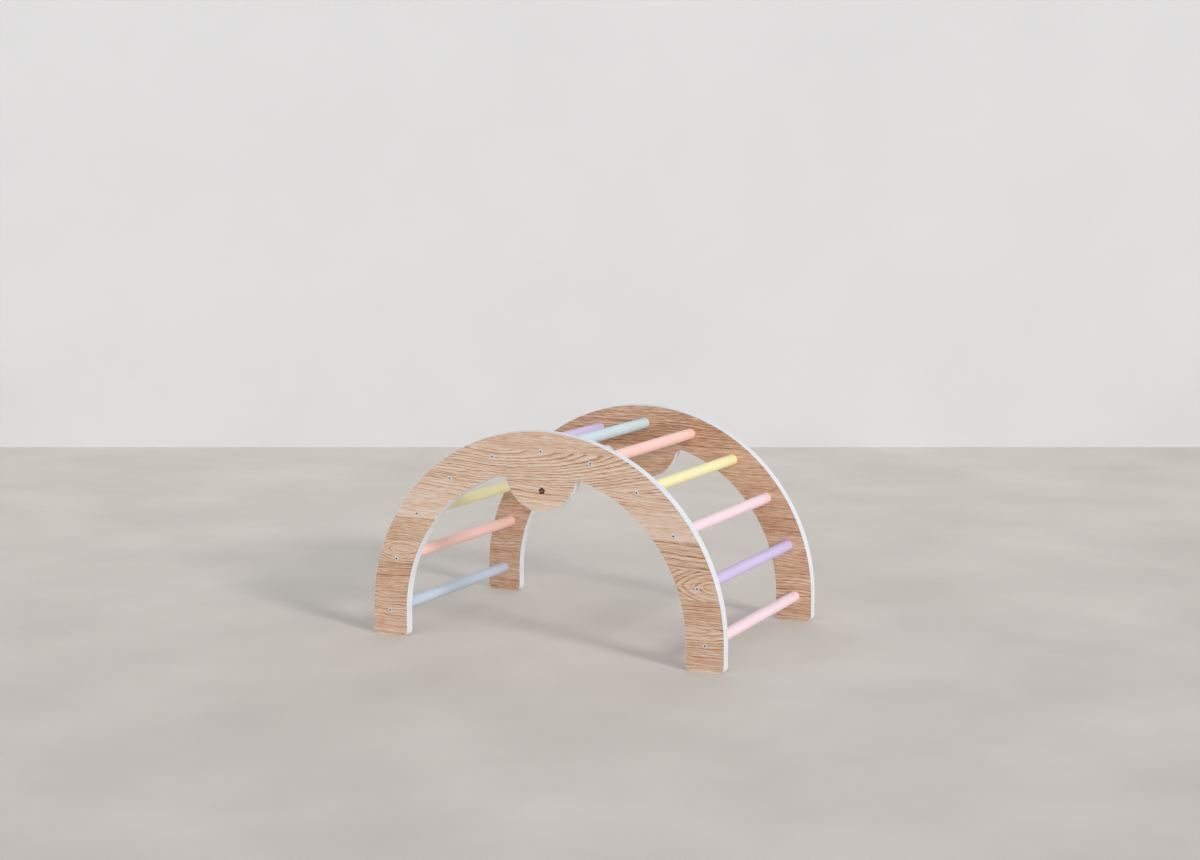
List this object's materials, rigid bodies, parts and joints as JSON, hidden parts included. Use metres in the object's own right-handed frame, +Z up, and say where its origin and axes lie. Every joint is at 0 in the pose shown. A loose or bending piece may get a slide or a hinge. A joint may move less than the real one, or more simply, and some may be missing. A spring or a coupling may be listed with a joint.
{
  "type": "rocker arch",
  "caption": "Half-round climbing arch and rocker for small children: two oak-faced side boards with white lacquered edges, joined by painted round rungs.",
  "frame": {"origin": "on the floor, midway between the four feet, below the middle of the arch", "axes": "+X along the arch, to the right foot as seen from the front board; +Y from the front board to the back board; +Z up"},
  "size_m": [0.934, 0.604, 0.5295],
  "materials": {
    "white_lacquer": "satin white lacquer on a birch plywood board",
    "oak_veneer": "matt clear-lacquered oak veneer",
    "paint_blue": "satin pale blue paint on beech",
    "paint_aqua": "satin pale aqua paint on beech",
    "paint_coral": "satin pale coral paint on beech",
    "paint_yellow": "satin pale yellow paint on beech",
    "paint_pink": "satin pale pink paint on beech",
    "paint_lilac": "satin lilac paint on beech",
    "zinc_plated_steel": "zinc-plated",
    "insert_brass": "turned"
  },
  "bodies": {
    "root": {"front_panel": "white_lacquer", "back_panel": "white_lacquer", "front_outer_veneer": "oak_veneer", "front_inner_veneer": "oak_veneer", "back_outer_veneer": "oak_veneer", "back_inner_veneer": "oak_veneer", "rung_01": "paint_blue", "rung_02": "paint_coral", "rung_03": "paint_yellow", "rung_04": "paint_pink", "rung_05": "paint_lilac", "rung_06": "paint_aqua", "rung_07": "paint_coral", "rung_08": "paint_yellow", "rung_09": "paint_pink", "rung_10": "paint_lilac", "rung_11": "paint_pink", "front_screws": "zinc_plated_steel", "back_screws": "zinc_plated_steel", "front_inserts": "insert_brass", "back_inserts": "insert_brass"}
  },
  "joints": []
}
